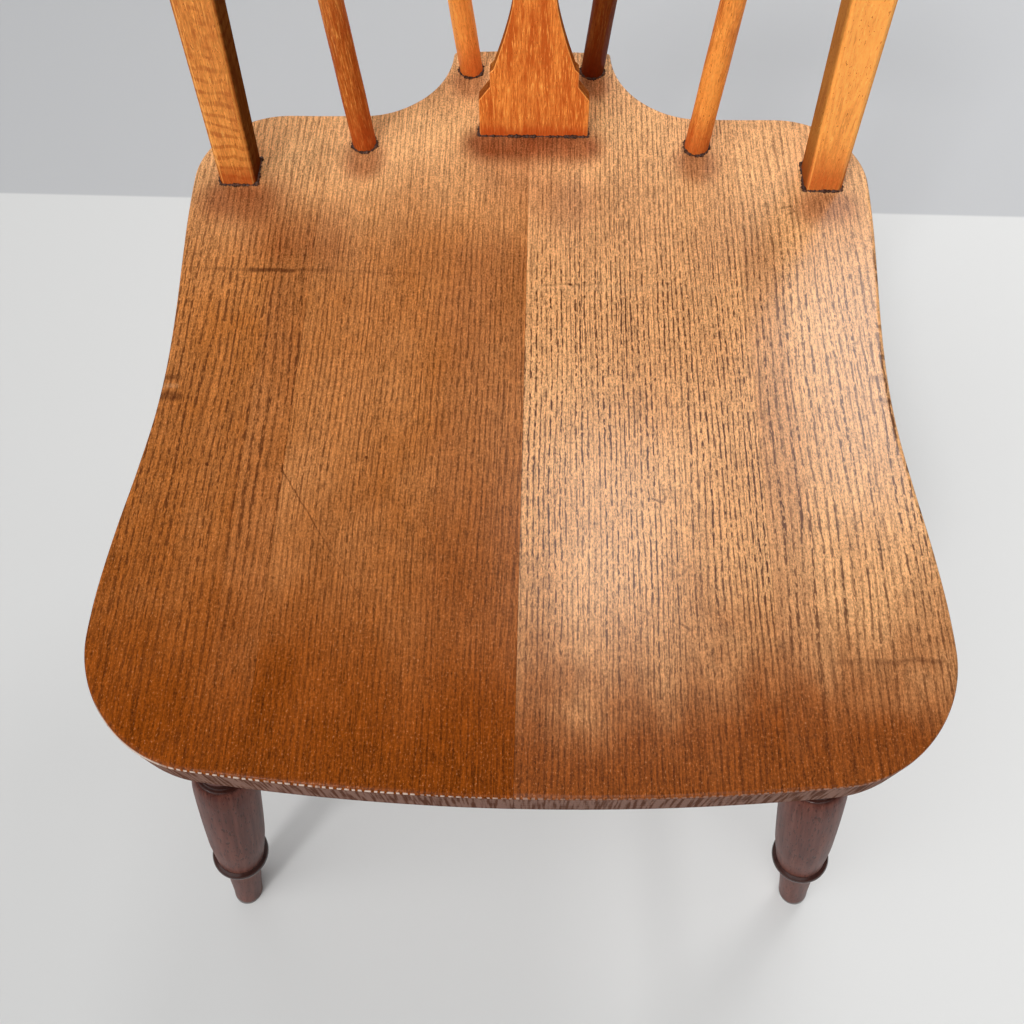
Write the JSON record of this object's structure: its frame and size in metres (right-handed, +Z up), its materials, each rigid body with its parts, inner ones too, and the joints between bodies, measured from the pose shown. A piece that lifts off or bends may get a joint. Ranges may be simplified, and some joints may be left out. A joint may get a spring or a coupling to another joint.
{
  "type": "windsor side chair",
  "caption": "Wooden side chair with a waisted plank seat, fiddle-shaped splat, turned sticks, brace sticks on a tail, and splayed turned legs.",
  "frame": {"origin": "on the floor, under the middle of the chair's overall box", "axes": "+Z up; +Y towards the back of the chair, so the front edge of the seat faces -Y; +X to the right for someone facing the chair"},
  "size_m": [0.4778, 0.5187, 0.8591],
  "materials": {
    "seat_wood": "satin varnish, open grain",
    "back_wood": "semi-gloss stained varnish",
    "leg_wood": "semi-gloss dark stain"
  },
  "bodies": {
    "root": {"seat_board_outer_left": "seat_wood", "seat_board_inner_left": "seat_wood", "seat_board_inner_right": "seat_wood", "seat_board_outer_right": "seat_wood", "stile_left": "back_wood", "stile_right": "back_wood", "stick_left": "back_wood", "stick_right": "back_wood", "brace_stick_left": "back_wood", "brace_stick_right": "back_wood", "splat": "back_wood", "crest_rail": "back_wood", "leg_front_left": "leg_wood", "leg_front_right": "leg_wood", "leg_rear_left": "leg_wood", "leg_rear_right": "leg_wood", "stretcher_left": "leg_wood", "stretcher_right": "leg_wood", "stretcher_middle": "leg_wood"}
  },
  "joints": []
}
